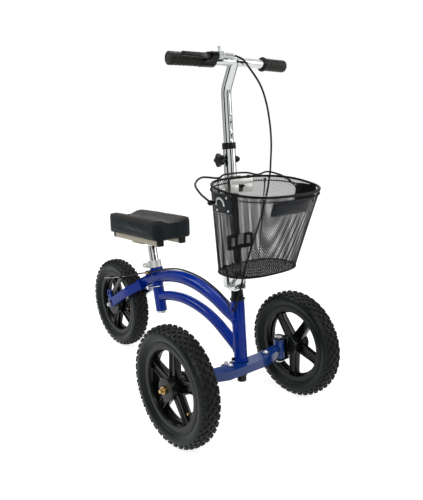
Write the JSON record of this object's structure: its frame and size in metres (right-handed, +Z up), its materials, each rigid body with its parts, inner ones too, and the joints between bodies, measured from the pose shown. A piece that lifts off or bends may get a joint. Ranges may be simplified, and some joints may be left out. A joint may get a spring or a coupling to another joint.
{
  "type": "all-terrain knee walker",
  "caption": "All-terrain knee walker: padded knee rest on an arched tube frame, steered front axle, folding handlebar column with hand brake, and a front basket with a lift-off handle.",
  "frame": {"origin": "on the ground, midway between the front of the basket and the back of the rear tyre, on the walker's middle plane", "axes": "+Z up, -Y towards the front wheels, +X towards the rider's left hand"},
  "size_m": [0.5232, 0.978, 0.9616],
  "materials": {
    "blue_paint": "gloss",
    "black_paint": "satin",
    "chrome_plate": "polished",
    "zinc_plate": "satin",
    "steel": "satin",
    "yellow_zinc": "satin",
    "black_plastic": "satin",
    "basket_mesh": "satin",
    "tyre": "matte",
    "grip_rubber": "matte",
    "black_vinyl": "satin"
  },
  "bodies": {
    "frame": {"head_tube": "blue_paint", "front_beam": "blue_paint", "upper_rail": "blue_paint", "lower_rail": "blue_paint", "seat_tube": "blue_paint", "left_rear_arm": "blue_paint", "right_rear_arm": "blue_paint", "upper_headset_cup": "black_paint", "lower_headset_cup": "black_paint", "rear_axle": "yellow_zinc", "brake_backplate": "steel", "rear_cable": "black_plastic", "rear_cable_adjuster": "yellow_zinc", "seat_clamp": "chrome_plate", "seat_tube_bolt": "steel"},
    "steering": {"steering_shaft": "steel", "headset_boot": "black_plastic", "pitman_arm": "steel", "fold_fork": "chrome_plate", "fold_pin": "steel"},
    "left_tie_rod": {"left_tie_rod": "zinc_plate"},
    "right_tie_rod": {"right_tie_rod": "zinc_plate"},
    "left_knuckle": {"left_knuckle": "zinc_plate", "left_king_pin": "zinc_plate", "left_axle_nut": "yellow_zinc"},
    "right_knuckle": {"right_knuckle": "zinc_plate", "right_king_pin": "zinc_plate", "right_axle_nut": "yellow_zinc"},
    "left_front_wheel": {"left_front_tyre": "tyre", "left_front_rim": "black_paint"},
    "right_front_wheel": {"right_front_tyre": "tyre", "right_front_rim": "black_paint"},
    "rear_wheel": {"rear_tyre": "tyre", "rear_rim": "black_paint", "brake_drum": "steel"},
    "brake_arm": {"brake_arm": "black_paint"},
    "column": {"fold_tongue": "chrome_plate", "column_tube": "chrome_plate", "column_collar": "black_plastic", "star_nut": "black_plastic", "basket_bracket": "chrome_plate", "lower_basket_bracket": "black_paint"},
    "fold_lever": {"fold_lever": "chrome_plate"},
    "star_knob": {"star_knob": "black_plastic"},
    "handlebar": {"handlebar": "chrome_plate", "left_grip": "grip_rubber", "right_grip": "grip_rubber", "brake_perch": "black_paint", "cable_adjuster": "steel", "front_cable": "black_plastic"},
    "brake_lever": {"brake_lever": "black_paint"},
    "parking_button": {"parking_button": "steel"},
    "basket": {"basket": "basket_mesh", "left_basket_plate": "black_paint", "right_basket_plate": "black_paint"},
    "basket_handle": {"basket_handle": "black_paint"},
    "seat": {"seat_post": "chrome_plate", "pad_frame": "zinc_plate", "knee_pad": "black_vinyl"},
    "seat_lever": {"seat_lever": "chrome_plate"}
  },
  "joints": [
    {"name": "steer", "type": "hinge", "parent": "frame", "child": "steering", "pos_m": [0, -0.31158, 0.15535], "axis": [0, 0.0983, 0.9952], "range_deg": [-30, 30], "deforming": ["front_cable"]},
    {"name": "left_knuckle_turn", "type": "hinge", "parent": "frame", "child": "left_knuckle", "pos_m": [0.15, -0.308, 0.155], "axis": [0, 0.0983, 0.9952], "range_deg": [-30, 30]},
    {"name": "right_knuckle_turn", "type": "hinge", "parent": "frame", "child": "right_knuckle", "pos_m": [-0.15, -0.308, 0.155], "axis": [0, 0.0983, 0.9952], "range_deg": [-30, 30]},
    {"name": "left_tie_rod_pivot", "type": "hinge", "parent": "steering", "child": "left_tie_rod", "pos_m": [0.015, -0.25719, 0.12617], "axis": [0, 0.0983, 0.9952], "range_deg": [-30, 30]},
    {"name": "right_tie_rod_pivot", "type": "hinge", "parent": "steering", "child": "right_tie_rod", "pos_m": [-0.015, -0.25719, 0.12617], "axis": [0, 0.0983, 0.9952], "range_deg": [-30, 30]},
    {"name": "left_front_wheel_spin", "type": "hinge", "parent": "left_knuckle", "child": "left_front_wheel", "pos_m": [0.214, -0.308, 0.155], "axis": [1, 0, 0], "continuous": true},
    {"name": "right_front_wheel_spin", "type": "hinge", "parent": "right_knuckle", "child": "right_front_wheel", "pos_m": [-0.214, -0.308, 0.155], "axis": [1, 0, 0], "continuous": true},
    {"name": "rear_wheel_spin", "type": "hinge", "parent": "frame", "child": "rear_wheel", "pos_m": [0, 0.334, 0.155], "axis": [1, 0, 0], "continuous": true},
    {"name": "brake_arm_pull", "type": "hinge", "parent": "frame", "child": "brake_arm", "pos_m": [-0.0324, 0.328, 0.196], "axis": [1, 0, 0], "range_deg": [0, 10], "deforming": ["rear_cable"]},
    {"name": "column_fold", "type": "hinge", "parent": "steering", "child": "column", "pos_m": [0, -0.28985, 0.37538], "axis": [1, 0, 0], "range_deg": [-52, 0], "deforming": ["front_cable"]},
    {"name": "fold_lever_open", "type": "hinge", "parent": "steering", "child": "fold_lever", "pos_m": [-0.034, -0.28985, 0.37538], "axis": [0, -0.9952, 0.0983], "range_deg": [0, 90]},
    {"name": "star_knob_turn", "type": "hinge", "parent": "column", "child": "star_knob", "pos_m": [-0.035, -0.25826, 0.69533], "axis": [1, 0, 0], "continuous": true},
    {"name": "handlebar_height", "type": "slide", "parent": "column", "child": "handlebar", "axis": [0, 0.0983, 0.9952], "range_m": [-0.096, 0.064], "deforming": ["front_cable"]},
    {"name": "brake_lever_squeeze", "type": "hinge", "parent": "handlebar", "child": "brake_lever", "pos_m": [-0.09016, -0.28787, 0.93582], "axis": [0, -0.0983, -0.9952], "range_deg": [0, 12], "stiffness_Nm_per_rad": 4, "springref_deg": -2.86},
    {"name": "parking_button_press", "type": "slide", "parent": "handlebar", "child": "parking_button", "axis": [0, -0.0983, -0.9952], "range_m": [0, 0.004], "stiffness_N_per_m": 300, "springref_m": -0.002},
    {"name": "basket_lift", "type": "slide", "parent": "column", "child": "basket", "axis": [0, 0, 1], "range_m": [0, 0.05]},
    {"name": "basket_handle_swing", "type": "hinge", "parent": "basket", "child": "basket_handle", "pos_m": [0, -0.365, 0.612], "axis": [1, 0, 0], "range_deg": [0, 115]},
    {"name": "seat_height", "type": "slide", "parent": "frame", "child": "seat", "axis": [0, 0.2334, 0.9724], "range_m": [-0.045, 0.065]},
    {"name": "seat_lever_open", "type": "hinge", "parent": "frame", "child": "seat_lever", "pos_m": [-0.0295, 0.12013, 0.34061], "axis": [0, 0.2334, 0.9724], "range_deg": [0, 110]}
  ],
  "couplings": [
    {"joint": "left_knuckle_turn", "follows": "steer", "ratio": 1},
    {"joint": "right_knuckle_turn", "follows": "steer", "ratio": 1},
    {"joint": "left_tie_rod_pivot", "follows": "steer", "ratio": -1},
    {"joint": "right_tie_rod_pivot", "follows": "steer", "ratio": -1},
    {"joint": "brake_arm_pull", "follows": "brake_lever_squeeze", "ratio": 0.5}
  ]
}
